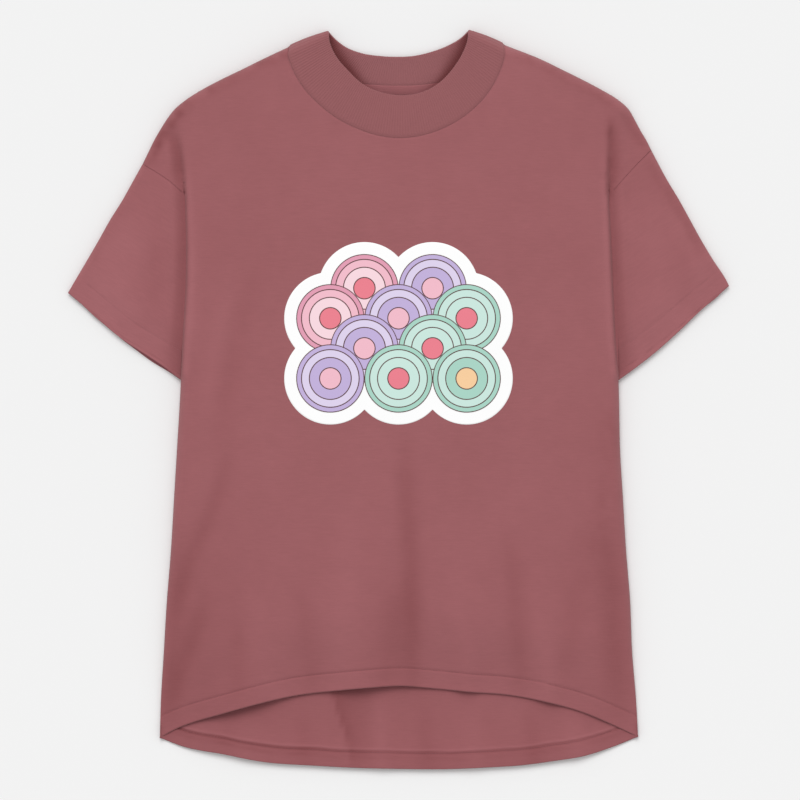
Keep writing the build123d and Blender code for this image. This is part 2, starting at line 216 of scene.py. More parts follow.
TOP_FRONT = line(
    (329, 32), (330, 42), (336, 56), (348, 70.5), (364, 85), (383, 93), (401, 95.5), (423, 92), (439, 83),
    (454, 67), (463, 52), (467, 41), (468, 31))
TOP_BACK = line(
    (329, 32), (336, 39.5), (345, 46.5), (363, 53.5), (380, 56), (398, 56.8), (413, 56), (429, 52.5),
    (449, 45), (460, 38.5), (468, 31))

SIDES = [smooth(LEFT_SIDE, 4), smooth(RIGHT_SIDE, 4)]
UPPER_EDGES = [np.vstack([smooth(LEFT_SLEEVE, 4), smooth(LEFT_SHOULDER, 4)]),
               np.vstack([smooth(RIGHT_SLEEVE, 4), smooth(RIGHT_SHOULDER, 4)])]

# Where the body folds over beside each sleeve: the dark valley's path, from above the armhole down
VALLEYS = [line((174, 118), (180.5, 150), (183.5, 178), (185.5, 200), (186.5, 248), (186, 288),
                (183.5, 330), (181, 380)),
           line((619, 108), (609.5, 135), (608.5, 165), (609, 206), (611, 243), (613, 294),
                (615.5, 345), (618.5, 380))]
ARMHOLE_POINT = 3  # the valley's point below which it has its full depth
VALLEY_DEPTH, VALLEY_BODY_SIDE, VALLEY_SLEEVE_SIDE = 6.0, 5.0, 15.0
UNDERARM_FADE, UNDERARM_REACH = 14.0, 4.0  # how slowly a valley ends, and how far past its path
SLEEVE_BLEND = 24.0  # how far out from the valley the sleeve has its own height
# The valley's painted shade, in millimetres of fold, and the painted highlight on the ridge at its body side
VALLEY_SHADE, SHADE_BODY_SIDE, SHADE_SLEEVE_SIDE = 2.6, 2.0, 9.0
SHADE_SPREAD, SHADE_SPREAD_Y, SHADE_SPREAD_LENGTH = 4.0, 190, 150  # it widens by this much towards the underarm
RIDGE_LIGHT, RIDGE_OFFSET, RIDGE_WIDTH = 1.3, 5.5, 3.2

# Soft folds of the body and sleeves: a path in the photograph, height, half width
BODY_FOLDS = [
    (line((404, 395), (406, 480), (411, 560), (413, 630), (411, 705)), -2.4, 10),
    (line((404, 550), (398, 620), (386, 705)), -1.9, 17),
    (line((352, 460), (347, 560), (343, 640), (341, 700)), 0.8, 15),
    (line((440, 450), (452, 560), (462, 640), (466, 700)), 0.5, 22),
    (line((296, 560), (306, 620), (311, 705)), -1.1, 11),
    (line((250, 560), (262, 640), (268, 715)), 0.5, 18),
    (line((505, 510), (514, 590), (521, 700)), -1.5, 10),
    (line((540, 600), (546, 650), (556, 705)), 0.9, 12),
    (line((585, 560), (572, 620), (560, 690)), -0.9, 11),
    (line((606, 500), (612, 590), (618, 712)), -2.3, 15),
    (line((586, 500), (580, 550), (574, 600)), -0.5, 14),
    (line((240, 420), (217, 500), (192, 560), (178, 610)), -1.6, 9),
    (line((210, 580), (200, 620), (184, 665), (170, 708)), -1.9, 10),
    (line((182, 520), (176, 600), (168, 705)), -1.5, 12),
    (line((232, 600), (238, 640), (240, 700)), -0.9, 9),
    (line((262, 240), (238, 340), (218, 440)), -0.9, 12),
    (line((244, 250), (218, 350), (206, 430)), 0.8, 11),
    (line((197, 205), (195, 280), (193, 350)), 1.0, 6),
    (line((601, 210), (603, 280), (606, 350)), 0.6, 7),
    # the body's shoulders outside the valleys
    (line((168, 122), (176, 146), (181, 178)), -2.4, 7),
    (line((167, 134), (168, 150), (171, 166)), 0.8, 4),
    (line((612, 108), (614, 145), (616, 180)), -1.6, 6),
    (line((618, 106), (630, 127), (645, 150)), -1.7, 6),
    # sleeves
    (line((656, 166), (674, 198), (688, 224), (704, 252)), -1.5, 6),
    (line((664, 196), (690, 246), (706, 290)), 1.0, 9),
    (line((642, 190), (652, 260), (666, 335)), 1.2, 24),
    (line((136, 182), (116, 214), (92, 256)), -0.8, 5),
    (line((136, 200), (124, 250), (112, 325)), 2.0, 30),
    (line((159, 205), (158, 250), (150, 320)), -0.5, 8),
]
FOLD_FADE = (2.4, 1.18)  # rate and run of the fade at their ends

# Painted shade of small puckers beside seams and edges, too fine to model: a path, the depth whose shade is
# painted, half width
PUCKER_SHADES = [
    (line((145, 172), (155, 150), (166, 130), (190, 100)), 3.6, 6),
    (line((190, 100), (225, 81), (262, 63), (292, 50)), 2.4, 6),
    (line((506, 50), (545, 66), (580, 83), (612, 104)), 1.8, 6),
    (line((609, 112), (609.5, 150), (609.5, 195)), 2.6, 4),
    (line((612, 400), (608, 480), (598, 560)), 1.1, 15),
    (line((640, 150), (664, 190), (684, 226), (700, 258)), 1.1, 5),
    (line((128, 198), (104, 240), (84, 276)), 0.5, 5),
]
PUCKER_FADE = (5.0, 1.1)
PATH_STEP = 14  # folds and puckers are followed in steps of this many millimetres

# Unevenness of the laid cloth: height, size of its waves, seed
BROAD_WAVES, SMALL_WAVES = (0.45, 70, 1), (0.16, 24, 2)
# BROAD_SHADE and SMALL_SHADE are painted shade in uneven patches; PUCKER_WAVES makes the painted pucker shade
# uneven
BROAD_SHADE, SMALL_SHADE, PUCKER_WAVES = (0.5, 60, 5), (0.35, 17, 6), (0.9, 9, 7)

# Painted shade, darker towards the hem, where the cloth turns away from the light, and more so towards the
# side folds
LOW_Y, LOW_LENGTH, LOW_SHADE = -20.0, 260.0, 0.3
LOW_LEFT, LOW_LEFT_X, LOW_RIGHT, LOW_RIGHT_X, LOW_SIDE_WIDTH = 1.4, 110.0, 0.6, 130.0, 80.0


def crown(points):
    """Height of the laid body before its folds."""
    x, y = points[..., 0], points[..., 1]
    hemward = np.clip((CHEST_Y - y) / (CHEST_Y + TOP_Y), 0, None)
    neckward = np.clip((y - CHEST_Y) / (NECK_Y - CHEST_Y), 0, None)
    rise = (CHEST_HEIGHT - EDGE_HEIGHT - (CHEST_HEIGHT - HEM_HEIGHT) * hemward**2
            - (CHEST_HEIGHT - NECK_HEIGHT) * neckward**2)
    return EDGE_HEIGHT + rise * np.clip(1 - (x / HALF_SPAN) ** 2, 0, None)


def rolled(height, gap, radius, middle):
    """The height beside an outer fold, where the cloth rolls down to the fold's middle."""
    return middle + (height - middle) * quarter_round(gap / radius)


def lower_height(gap, radius, middle):
    """Height of the lower cloth, which rises beside an outer fold to meet the upper one at its middle."""
    return BACK_HEIGHT + (middle - BACK_HEIGHT) * (1 - quarter_round((gap - CLOTH) / radius))


def beyond_valley(points, valley):
    """How far out from a valley's path each point lies, and whether it is on that side."""
    side = np.sign(valley[0, 0])
    order = np.argsort(valley[:, 1])
    beyond = side * (points[..., 0] - np.interp(points[..., 1], valley[order, 1], valley[order, 0]))
    return beyond, side * points[..., 0] > 0


def valley_share(y, valley):
    """1 along a valley, fading out above the armhole and at the underarm."""
    above = ease((valley[0, 1] - y) / (valley[0, 1] - valley[ARMHOLE_POINT, 1]))
    return above * ease((y - valley[-1, 1] + UNDERARM_REACH) / UNDERARM_FADE)


def folds(points):
    """Height that the soft folds add, in millimetres."""
    total = np.zeros(points.shape[:-1])
    for path, height, width in BODY_FOLDS:
        gap, where = distance(points, smooth(path, PATH_STEP))
        total += height * faded(where, *FOLD_FADE) * bell(gap, width)
    return total


def painted_fold_shade(points):
    """Painted shade at each point, in millimetres of fold: from the folds, valleys, puckers, patches and the
    lower body; a ridge's painted highlight is below 0.
    """
    x, y = points[..., 0], points[..., 1]
    depth = -folds(points) - ripple(points, *BROAD_SHADE) - ripple(points, *SMALL_SHADE)
    uneven = 1 + ripple(points, *PUCKER_WAVES)
    for path, shade, width in PUCKER_SHADES:
        gap, where = distance(points, smooth(path, PATH_STEP))
        depth += shade * uneven * faded(where, *PUCKER_FADE) * bell(gap, width)
    for valley in VALLEYS:
        beyond, same_side = beyond_valley(points, valley)
        outward = SHADE_SLEEVE_SIDE + SHADE_SPREAD * ease((SHADE_SPREAD_Y - y) / SHADE_SPREAD_LENGTH)
        width = np.where(beyond < 0, SHADE_BODY_SIDE, outward)
        valley_shade = VALLEY_SHADE * np.exp(-np.abs(beyond / width) ** 3)
        ridge = RIDGE_LIGHT * bell(beyond + RIDGE_OFFSET, RIDGE_WIDTH)
        depth += np.where(same_side, valley_share(y, valley) * (valley_shade - ridge), 0)
    side_shade = (LOW_LEFT * ease((-x - LOW_LEFT_X) / LOW_SIDE_WIDTH)
                  + LOW_RIGHT * ease((x - LOW_RIGHT_X) / LOW_SIDE_WIDTH))
    return depth + ease((LOW_Y - y) / LOW_LENGTH) * (LOW_SHADE + side_shade)


def top_height(points, with_sides=True):
    """Height of the garment's upper face: body, sleeves, the valleys between them and the folds."""
    x, y = points[..., 0], points[..., 1]
    z = crown(points)
    for valley in VALLEYS:
        beyond, same_side = beyond_valley(points, valley)
        sleeve_share = ease(beyond / SLEEVE_BLEND) * ease((y - valley[-1, 1]) / UNDERARM_FADE + 1)
        z = np.where(same_side, z + (SLEEVE_HEIGHT - z) * sleeve_share, z)
        body_side = 1 - quarter_round(-beyond / VALLEY_BODY_SIDE)
        sleeve_side = 1 - ease(beyond / VALLEY_SLEEVE_SIDE)
        dip = VALLEY_DEPTH * valley_share(y, valley) * np.where(beyond < 0, body_side, sleeve_side)
        z = np.where(same_side, z - dip, z)
    z = z + folds(points) + ripple(points, *BROAD_WAVES) + ripple(points, *SMALL_WAVES)
    toward_sleeve = ease((np.abs(x) - SLEEVE_START) / SLEEVE_CHANGE)
    radius = BODY_ROLL + (SLEEVE_ROLL - BODY_ROLL) * toward_sleeve
    middle = BODY_MIDDLE + (SLEEVE_MIDDLE - BODY_MIDDLE) * toward_sleeve
    for edge in UPPER_EDGES + (SIDES if with_sides else []):
        gap, _ = distance(points, edge)
        z = rolled(z, gap, radius, middle)
    return z


# Meshes

def add_object(name, data):
    """Puts a new object with the given data into the scene."""
    made = bpy.data.objects.new(name, data)
    bpy.context.scene.collection.objects.link(made)
    return made


def finish_piece(name, builder, materials):
    """Turns a bmesh into a smooth piece that rides on the body."""
    mesh = bpy.data.meshes.new(name)
    builder.to_mesh(mesh)
    builder.free()
    mesh.shade_smooth()
    for material in materials:
        mesh.materials.append(material)
    piece = add_object(name, mesh)
    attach(piece, "root")
    return piece


def cloth_grid(places, painted_shades=None):
    """A bmesh grid moved onto rows of places in millimetres, with the painted fold shade for the knit's
    colour.
    """
    rows, columns = places.shape[:2]
    builder = bmesh.new()
    bmesh.ops.create_grid(builder, x_segments=columns - 1, y_segments=rows - 1, size=1.0)
    for vertex, place in zip(builder.verts, places.reshape(-1, 3) * MM):
        vertex.co = place
    if painted_shades is not None:
        layer = builder.verts.layers.float.new("painted_fold_shade")
        for vertex, depth in zip(builder.verts, np.ravel(painted_shades)):
            vertex[layer] = depth
    return builder


def sheet_from(name, points, heights, material, painted_shades=None, flip=False):
    """A cloth sheet over a grid of places, with its thickness below the given heights."""
    builder = cloth_grid(np.dstack([points, heights]), painted_shades)
    if flip:
        bmesh.ops.reverse_faces(builder, faces=builder.faces)
    piece = finish_piece(name, builder, [material])
    solid = piece.modifiers.new("cloth", "SOLIDIFY")
    solid.thickness = CLOTH * MM
    solid.offset = -1
    return piece


# Materials

def linear(hex_colour):
    """Linear colour of an sRGB hex code."""
    values = [int(hex_colour[i:i + 2], 16) / 255 for i in (0, 2, 4)]
    return tuple(v / 12.92 if v <= 0.04045 else ((v + 0.055) / 1.055) ** 2.4 for v in values) + (1.0,)


def add_node(tree, kind, inputs=None, **settings):
    """Adds a node, sets its properties, and fills or links its inputs."""
    node = tree.nodes.new(kind)
    for name, value in settings.items():
        setattr(node, name, value)
    for name, value in (inputs or {}).items():
        if isinstance(value, bpy.types.NodeSocket):
            tree.links.new(value, node.inputs[name])
        else:
            node.inputs[name].default_value = value
    return node


def new_material(name):
    """An empty material and its node tree."""
    material = bpy.data.materials.new(name)
    material.use_nodes = True
    tree = material.node_tree
    tree.nodes.clear()
    return material, tree


def finish_material(tree, relief, strength, height, looks):
    """Gives the surface its looks and a relief up to the given height in millimetres."""
    bump = add_node(tree, "ShaderNodeBump", {"Height": relief, "Strength": strength, "Distance": height * MM})
    shader = add_node(tree, "ShaderNodeBsdfPrincipled", {"Normal": bump.outputs["Normal"], **looks})
    add_node(tree, "ShaderNodeOutputMaterial", {"Surface": shader.outputs["BSDF"]})


def toned(tree, colour, tone):
    """The colour made lighter or darker by a tone that is 1 where it stays as it is."""
    grey = add_node(tree, "ShaderNodeCombineColor", {"Red": tone, "Green": tone, "Blue": tone})
    mixed = add_node(tree, "ShaderNodeMixRGB",
                     {"Fac": 1.0, "Color1": colour, "Color2": grey.outputs["Color"]}, blend_type="MULTIPLY")
    return mixed.outputs["Color"]


def per_metre(*sizes):
    """Texture scales that give patterns of the given sizes in millimetres."""
    return tuple(1 / (size * MM) for size in sizes)


# Painted fold shade: in a fold, light bounces from cloth to cloth and comes back deeper and redder; the
# colour the painted shade leans to, and the share of it for each millimetre
PAINTED_SHADE_COLOUR, PAINTED_SHADE_TONE = "672526", 0.085

# Sizes of the patterns in millimetres. A pixel is 1 mm, so the loops themselves hardly show.
WALE, RIB_WALE, COURSE_SHARE = 0.9, 0.7, 0.75  # a loop's width, and its height as a share of that
SLUB = (11.0, 1.2, 16.0)  # thick places of the yarn; real ones are 0.4 across and are drawn coarser to show
BANDS = (45.0, 4.2, 25.0)  # rows where the yarn took the dye a little unevenly
MOTTLE = (18.0, 18.0, 18.0)
TWIST, INK_GRAIN, INK_CLOUD = 0.7, 1.1, 33.0  # a thread's real twist is 0.3, too fine to show

# How strongly each pattern changes the knit's tone: the first three as shares of slub
STREAK_TONE, BAND_TONE, MOTTLE_TONE, LOOP_TONE = 2.0, 0.25, 0.6, 0.10
LOOP_MEAN = 0.45


def knit_material(name, colour, turn=0.0, wale=WALE, depth=0.14, slub=0.10):
    """Single jersey: rows of small loops, slub streaks along the courses, a faint mottle, and painted fold
    shade read from the mesh.
    """
    material, tree = new_material(name)
    place = add_node(tree, "ShaderNodeTexCoord").outputs["Object"]
    turned = add_node(tree, "ShaderNodeMapping", {"Vector": place, "Rotation": (0, 0, turn)})
    along_rows = turned.outputs["Vector"]
    split = add_node(tree, "ShaderNodeSeparateXYZ", {"Vector": along_rows})
    painted_shade_amount = add_node(tree, "ShaderNodeAttribute", attribute_name="painted_fold_shade")
    value = {"painted_shade_amount": painted_shade_amount.outputs["Fac"], "x": split.outputs["X"], "y": split.outputs["Y"]}
    for made, where, sizes, detail, roughness in (("streaks", along_rows, SLUB, 4.0, 0.6),
                                                  ("bands", along_rows, BANDS, 2.0, 0.5),
                                                  ("mottle", place, MOTTLE, 3.0, 0.5)):
        scaled = add_node(tree, "ShaderNodeMapping", {"Vector": where, "Scale": per_metre(*sizes)})
        pattern = add_node(tree, "ShaderNodeTexNoise", {"Vector": scaled.outputs["Vector"], "Scale": 1.0,
                                                        "Detail": detail, "Roughness": roughness})
        value[made] = pattern.outputs["Fac"]

    # each value is worked out from those above it; the legs of a stitch lean in towards the next course
    even_tone = 1 - LOOP_TONE * LOOP_MEAN - slub * (STREAK_TONE + BAND_TONE + MOTTLE_TONE) / 2
    for made, operation, *terms in (
            ("course", "MULTIPLY", "y", 2 * pi * per_metre(wale * COURSE_SHARE)[0]),
            ("course_wave", "SINE", "course"),
            ("across", "MULTIPLY", "x", pi * per_metre(wale)[0]),
            ("leaning", "MULTIPLY_ADD", "course_wave", 0.9, "across"),
            ("leg_wave", "SINE", "leaning"),
            ("legs", "ABSOLUTE", "leg_wave"),
            ("course_height", "MULTIPLY_ADD", "course_wave", 0.25, 0.75),
            ("loops", "MULTIPLY", "legs", "course_height"),
            ("loop_tone", "MULTIPLY_ADD", "loops", LOOP_TONE, even_tone),
            ("mottle_tone", "MULTIPLY_ADD", "mottle", slub * MOTTLE_TONE, "loop_tone"),
            ("band_tone", "MULTIPLY_ADD", "bands", slub * BAND_TONE, "mottle_tone"),
            ("tone", "MULTIPLY_ADD", "streaks", slub * STREAK_TONE, "band_tone"),
            ("painted_shade_share", "MULTIPLY", "painted_shade_amount", PAINTED_SHADE_TONE),
            ("streak_height", "MULTIPLY", "streaks", depth * 0.9),
            ("height", "MULTIPLY_ADD", "loops", depth, "streak_height")):
        inputs = {slot: value.get(term, term) for slot, term in enumerate(terms)}
        value[made] = add_node(tree, "ShaderNodeMath", inputs, operation=operation).outputs[0]

    # painted shade: the colour is mixed towards a deeper red where the mesh holds painted fold shade
    shade_mix = add_node(tree, "ShaderNodeMix", {"Factor": value["painted_shade_share"]},
                    data_type="RGBA", blend_type="MIX", clamp_factor=False)
    flat_end, fold_end = [socket for socket in shade_mix.inputs if socket.type == "RGBA"]
    flat_end.default_value, fold_end.default_value = colour, linear(PAINTED_SHADE_COLOUR)
    shaded_colour = next(socket for socket in shade_mix.outputs if socket.type == "RGBA")
    finish_material(tree, value["height"], 0.55, 1.0, {
        "Base Color": toned(tree, shaded_colour, value["tone"]), "Roughness": 0.92, "Specular IOR Level": 0.22,
        "Sheen Weight": 0.12, "Sheen Roughness": 0.6})
    return material


def thread_material(name, colour):
    """Spun polyester sewing thread: a little smoother than the cotton, with a fine twist."""
    material, tree = new_material(name)
    place = add_node(tree, "ShaderNodeTexCoord")
    # a diagonal wave texture repeats every 2 pi / 10 of its own unit
    twist = add_node(tree, "ShaderNodeTexWave",
                     {"Vector": place.outputs["Object"], "Scale": 2 * pi / 10 * per_metre(TWIST)[0],
                      "Distortion": 2.0}, wave_type="BANDS", bands_direction="DIAGONAL")
    finish_material(tree, twist.outputs["Fac"], 0.4, 0.1,
                    {"Base Color": colour, "Roughness": 0.7, "Sheen Weight": 0.1})
    return material


def ink_material(name, colour):
    """Heat-pressed transfer film and ink: even, softly matt, with a trace of the knit showing through."""
    material, tree = new_material(name)
    place = add_node(tree, "ShaderNodeTexCoord").outputs["Object"]
    grain = add_node(tree, "ShaderNodeTexNoise", {"Vector": place, "Scale": per_metre(INK_GRAIN)[0],
                                                  "Detail": 2.0})
    cloud = add_node(tree, "ShaderNodeTexNoise", {"Vector": place, "Scale": per_metre(INK_CLOUD)[0],
                                                  "Detail": 2.0})
    fade = add_node(tree, "ShaderNodeMapRange",
                    {"Value": cloud.outputs["Fac"], "To Min": 0.97, "To Max": 1.0})
    finish_material(tree, grain.outputs["Fac"], 0.12, 0.3, {
        "Base Color": toned(tree, colour, fade.outputs["Result"]), "Roughness": 0.5,
        "Specular IOR Level": 0.3})
    return material


# The cotton jersey is matt and soft: fine loops scatter the light, and slub yarn draws faint rows across it.
# The rib is the same yarn, a touch darker: painted shade of the hollows between its close-standing ribs.
ROSE = linear("9B5D61")
SLEEVE_TURN = 30  # the sleeves' rows of knit run across the arm
jersey, jersey_left, jersey_right = [
    knit_material("cotton_jersey" + end, ROSE, turn=radians(turn))
    for end, turn in (("", 0), ("_left_sleeve", SLEEVE_TURN), ("_right_sleeve", -SLEEVE_TURN))]
rib_knit = knit_material("cotton_rib_knit", linear("935A5D"), wale=RIB_WALE, depth=0.08, slub=0.06)

# Thread has a faint shine; the hems' sinks into the cloth's shade and the cuffs' nearly vanishes in it
thread = thread_material("polyester_thread", linear("8A5055"))
thread_pale = thread_material("polyester_thread_pale", linear("9A5F63"))

# The film is opaque white and the inks are flat and clear in colour, smoother than the cloth round them
film_white = ink_material("transfer_film_white", linear("FFFFFF"))
INK_COLOURS = {
    "brown": "5B3A38", "pink": "F3BCCB", "blush": "F9D9E1", "deep_pink": "E39DB4", "mint": "A9D5C6",
    "pale_mint": "CBE8DF", "lilac": "C3B1DC", "pale_lilac": "DFD3EE", "coral": "EC7F8E", "peach": "F8CE9E",
}
INKS = {ink: ink_material("transfer_ink_" + ink, linear(colour)) for ink, colour in INK_COLOURS.items()}


# Front and back of the body

# Steps along the side, crowded at the hem, then along the fold, the armhole and the shoulder
HEM_SHARE, HEM_STEPS, SIDE_STEPS = 0.085, 28, 80
SIDE_ROWS = np.concatenate([np.linspace(0, HEM_SHARE, HEM_STEPS + 1)[:-1],
                            np.linspace(HEM_SHARE, 1, SIDE_STEPS + 1)])
ROWS = (SIDE_ROWS, 52, 20, 60)
ACROSS, BACK_ACROSS = edge_spread(190), edge_spread(150)

HEM_DEPTH, STITCH_WIDTH, DOUBLED_LIFT = 18.5, 1.3, 0.5
HEM_REST = 3.4  # the front hem settles on the back this high, over the last stretch above it
HEM_SETTLE, SETTLE_POWER = 95.0, 1.5
# where a fold runs out, the hem stands off the back: place across the photograph, half width, height
HEM_LIFTS = ((360, 27, 8.0), (402, 26, 2.6), (467, 11, 3.2), (548, 12, 3.0), (245, 38, 8.0), (600, 12, 1.0))
SEAM_DIP, SEAM_REACH = 0.55, 2.6  # the neck seam pulls the jersey down beside it
STITCH_SHADE = 0.7


def body_places(hem, neck, across, inset=0.0):
    """Grid of places over the body, with its side edges moved inwards."""
    left, right = [chain([smooth(part) for part in parts], ROWS)
                   for parts in ((LEFT_SIDE, LEFT_FOLD, LEFT_ARMHOLE, LEFT_SHOULDER),
                                 (RIGHT_SIDE, RIGHT_FOLD, RIGHT_ARMHOLE, RIGHT_SHOULDER))]
    along = (lengths(left) / lengths(left)[-1] + lengths(right) / lengths(right)[-1]) / 2
    return patch(smooth(hem), smooth(neck), left + [inset, 0], right - [inset, 0], across, along)


def hem_standoff(points):
    """How far the front hem stands off the back, at each point's place across."""
    return sum(height * bell(points[..., 0] - spot(px, 0)[0], width) for px, width, height in HEM_LIFTS)


front_places = body_places(FRONT_HEM, NECK_FRONT, ACROSS)
front_heights = top_height(front_places)
hem_gap, _ = distance(front_places, smooth(FRONT_HEM, 6))
settle = (1 - ease(hem_gap / HEM_SETTLE)) ** SETTLE_POWER
hem_height = HEM_REST + hem_standoff(front_places)
front_heights += (np.minimum(hem_height, front_heights) - front_heights) * settle
stitch = bell(hem_gap - HEM_DEPTH, STITCH_WIDTH)
front_heights += DOUBLED_LIFT * (ease((HEM_DEPTH - hem_gap) / 1.5) - stitch)
front_heights -= tucked(hem_gap, CLOTH)
neck_gap, _ = distance(front_places, smooth(NECK_FRONT, 4))
front_heights -= SEAM_DIP * tucked(neck_gap, SEAM_REACH)
# the front's colour carries painted shade: folds, valleys, puckers, and a darker line along the hem's
# stitches
front = sheet_from("front", front_places, front_heights, jersey,
                   painted_fold_shade(front_places) + STITCH_SHADE * stitch)
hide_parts("front_panel")

# Folds on the inside of the back, below the front hem, with painted highlights on the raised ones and painted
# shade for the dips, which are only painted: a path, height (a dip below 0), half width
BACK_FOLDS = (
    (line((378, 690), (382, 765)), 1.2, 9),
    (line((470, 700), (474, 768)), 0.9, 12),
    (line((530, 700), (534, 764)), -1.2, 10),
    (line((250, 710), (245, 760)), 1.0, 14),
    (line((300, 705), (306, 764)), -0.9, 9),
    (line((570, 715), (576, 756)), 0.9, 11),
    (line((424, 700), (428, 768)), -1.2, 9),
)
BACK_HEM_DEPTH = 16.0
CURL_HEIGHT, CURL_REACH, CURL_SPAN, CURL_FADE = 3.6, 24.0, 235.0, 60.0  # the hem's edge curls off the table
GROOVE_DEPTH, GROOVE_WIDTH = 0.7, 1.7
RIDGE_LIFT, RIDGE_UP, STITCH_RIDGE_WIDTH = 0.3, 3.0, 1.2
BACK_DOUBLED_LIFT, BACK_WAVES, STITCH_WAVES = 0.9, (0.5, 40, 8), (1.1, 26, 9)
# painted shades, and painted highlights below 0, in millimetres of fold
BACK_SHADE, UNDER_HEM_SHADE, STANDOFF_SHADE = 0.9, 0.6, 0.28
UNDER_HEM_REACH, STANDOFF_REACH = 5.0, 1.5
CREASE_SHADE, CREASE_EDGE, CREASE_FADE = 4.2, 5.0, 17.0
GROOVE_SHADE, BELOW_GROOVE_SHADE, BELOW_GROOVE, BELOW_GROOVE_WIDTH = 5.0, 1.6, 5.0, 3.0
RIDGE_SHADE, BACK_DOUBLED_SHADE = -1.8, 0.7

back_places = body_places(BACK_HEM, NECK_BACK, BACK_ACROSS, CLOTH)
back_x, back_y = back_places[..., 0], back_places[..., 1]
back_heights = np.full(back_x.shape, BACK_HEIGHT)
for edge in UPPER_EDGES + SIDES:
    gap, _ = distance(back_places, edge)
    back_heights = np.maximum(back_heights, lower_height(gap, BODY_ROLL, BODY_MIDDLE))
# painted shade over the whole inside of the back, uneven in patches
back_painted_shades = BACK_SHADE + ripple(back_places, *BACK_WAVES)
for path, height, width in BACK_FOLDS:
    gap, where = distance(back_places, path)
    bend = height * ease(where * 1.5 + 0.3) * bell(gap, width)
    back_heights += np.clip(bend, 0, None)
    back_painted_shades -= bend

# a painted shadow under the front hem, deeper where the hem stands off the back
below_hem, _ = distance(back_places, smooth(FRONT_HEM, 6))
standoff = hem_standoff(back_places)
back_painted_shades += ((UNDER_HEM_SHADE + STANDOFF_SHADE * standoff)
                * np.exp(-below_hem / (UNDER_HEM_REACH + STANDOFF_REACH * standoff)))

# a painted shade band, as of a fold of the back, with a crisp left edge, fading to the right and towards the
# hem; the back has no such fold in its shape
shade_band = line((331, 690), (337, 712), (345, 735), (352, 770))
right_of = back_x - np.interp(-back_y, -shade_band[:, 1], shade_band[:, 0])
shade_band_share = ease((right_of + 2) / CREASE_EDGE) * np.exp(-np.clip(right_of, 0, None) / CREASE_FADE)
back_painted_shades += CREASE_SHADE * shade_band_share * ease((370 - np.abs(back_y)) / 60 + 0.35)

# the edge curls off the table, so that a soft shadow falls below it
edge_gap, _ = distance(back_places, smooth(BACK_HEM, 6))
back_heights += CURL_HEIGHT * bell(edge_gap, CURL_REACH) * ease((CURL_SPAN - np.abs(back_x)) / CURL_FADE)

# the wavy coverstitch of the back hem: a groove under a ridge, with painted shade in and below the groove and
# a painted highlight on the ridge
from_stitch = edge_gap - BACK_HEM_DEPTH + ripple(back_places, *STITCH_WAVES)
doubled = ease(-from_stitch / 1.5)
groove = bell(from_stitch, GROOVE_WIDTH)
ridge = bell(from_stitch - RIDGE_UP, STITCH_RIDGE_WIDTH)
back_heights += BACK_DOUBLED_LIFT * doubled - GROOVE_DEPTH * groove + RIDGE_LIFT * ridge
back_heights = np.maximum(back_heights, BACK_HEIGHT)
# the painted shade of the groove is stronger on the left
leftward = 1 - 0.5 * ease((back_x + 120) / 120)
below_groove = bell(from_stitch + BELOW_GROOVE, BELOW_GROOVE_WIDTH) * (1 + ripple(back_places, 1, 22, 10))
back_painted_shades += leftward * (GROOVE_SHADE * groove + BELOW_GROOVE_SHADE * below_groove)
back_painted_shades += BACK_DOUBLED_SHADE * doubled + RIDGE_SHADE * ridge
back = sheet_from("back", back_places, back_heights, jersey, back_painted_shades)
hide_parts("back_panel")


# Sleeves

SLEEVE_STEPS, SLEEVE_EVENNESS = 90, 0.5
CUFF_REST, CUFF_SETTLE, CUFF_DEPTH = 4.6, 45.0, 19.0  # height of the cuff's edge, settling, hem
CUFF_LIFT, CUFF_STITCH_DIP, CUFF_STITCH_SHADE = 0.2, 0.15, 0.2
ARMHOLE_DIP, ARMHOLE_WIDTH = 0.5, 1.4
# CUFF_LIGHT is a painted highlight on the outer cuff
CUFF_LIGHT, CUFF_LIGHT_REACH, CUFF_LIGHT_X = 1.4, 60.0, 225.0  # the outer cuff faces the light


